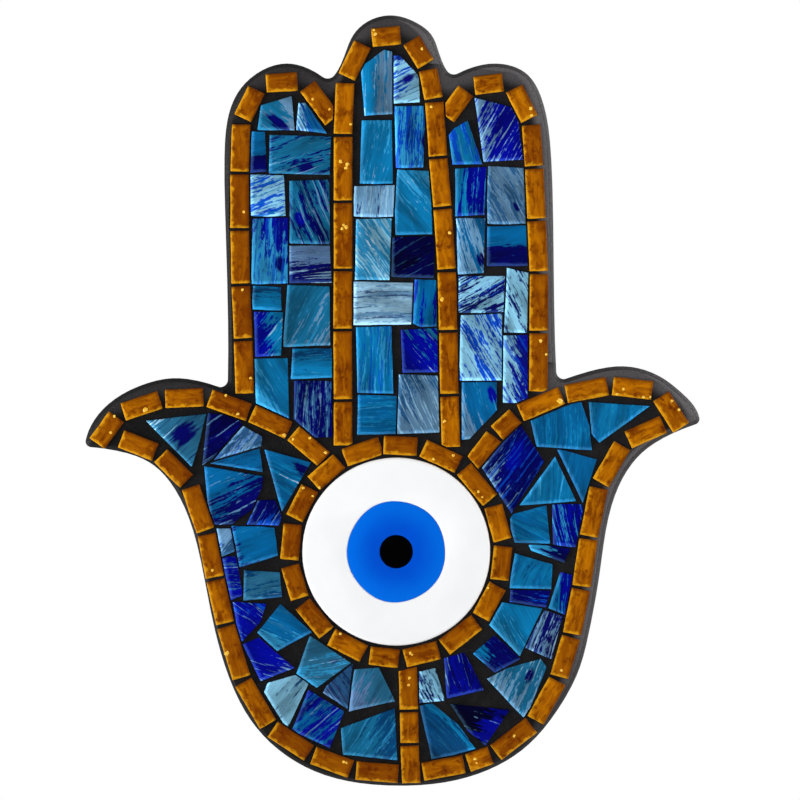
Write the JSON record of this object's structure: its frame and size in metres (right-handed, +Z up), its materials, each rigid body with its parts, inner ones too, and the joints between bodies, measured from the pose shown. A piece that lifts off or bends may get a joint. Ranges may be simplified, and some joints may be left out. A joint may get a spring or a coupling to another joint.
{
  "type": "hamsa hand wall hanging",
  "caption": "Hand-shaped board set with a glass mosaic of blue tiles and gold strips round an eye, hung by a hinged ring on its back.",
  "frame": {"origin": "on the board's back face, at the height and the middle of the hanger ring's pivot", "axes": "+Z up along the fingers, front towards -Y, +X to the viewer's right"},
  "size_m": [0.1594, 0.0161, 0.2],
  "materials": {
    "black_paint": "black paint on board",
    "grout": "dark matt cement grout",
    "eye_white": "white glaze",
    "eye_blue": "bright blue glaze",
    "eye_black": "black glaze",
    "steel": "plated steel",
    "gold_glass": "seedy amber glass",
    "turquoise_glass": "streaky opaque art glass",
    "cobalt_glass": "streaky opaque art glass",
    "ice_glass": "streaky opaque art glass",
    "mist_glass": "streaky opaque art glass",
    "midnight_glass": "streaky opaque art glass",
    "two_tone_glass": "streaky opaque art glass",
    "teal_glass": "streaky opaque art glass"
  },
  "bodies": {
    "plaque": {"backing_board": "black_paint", "cobalt_left_finger": "cobalt_glass", "cobalt_left_palm": "cobalt_glass", "cobalt_middle_finger": "cobalt_glass", "cobalt_right_finger": "cobalt_glass", "cobalt_right_palm": "cobalt_glass", "eye_iris": "eye_blue", "eye_pupil": "eye_black", "eye_white": "eye_white", "gold_eye_ring": "gold_glass", "gold_left_divider": "gold_glass", "gold_left_finger": "gold_glass", "gold_left_palm": "gold_glass", "gold_left_thumb": "gold_glass", "gold_middle_tip": "gold_glass", "gold_right_divider": "gold_glass", "gold_right_finger": "gold_glass", "gold_right_palm": "gold_glass", "gold_right_thumb": "gold_glass", "gold_stem": "gold_glass", "grout": "grout", "hanger_screw": "steel", "hanger_strap": "steel", "ice_left_finger": "ice_glass", "ice_left_palm": "ice_glass", "ice_middle_finger": "ice_glass", "ice_right_finger": "ice_glass", "ice_right_palm": "ice_glass", "midnight_left_finger": "midnight_glass", "midnight_left_palm": "midnight_glass", "midnight_middle_finger": "midnight_glass", "midnight_right_palm": "midnight_glass", "mist_left_finger": "mist_glass", "mist_left_palm": "mist_glass", "mist_middle_finger": "mist_glass", "mist_right_finger": "mist_glass", "mist_right_palm": "mist_glass", "teal_left_finger": "teal_glass", "turquoise_left_finger": "turquoise_glass", "turquoise_left_palm": "turquoise_glass", "turquoise_middle_finger": "turquoise_glass", "turquoise_right_finger": "turquoise_glass", "turquoise_right_palm": "turquoise_glass", "two_tone_left_finger": "two_tone_glass", "two_tone_left_palm": "two_tone_glass", "two_tone_right_finger": "two_tone_glass"},
    "ring": {"hanger_ring": "steel"}
  },
  "joints": [
    {"name": "ring_swing", "type": "hinge", "parent": "plaque", "child": "ring", "pos_m": [0, 0.00135, 0], "axis": [1, 0, 0], "range_deg": [0, 167]}
  ]
}
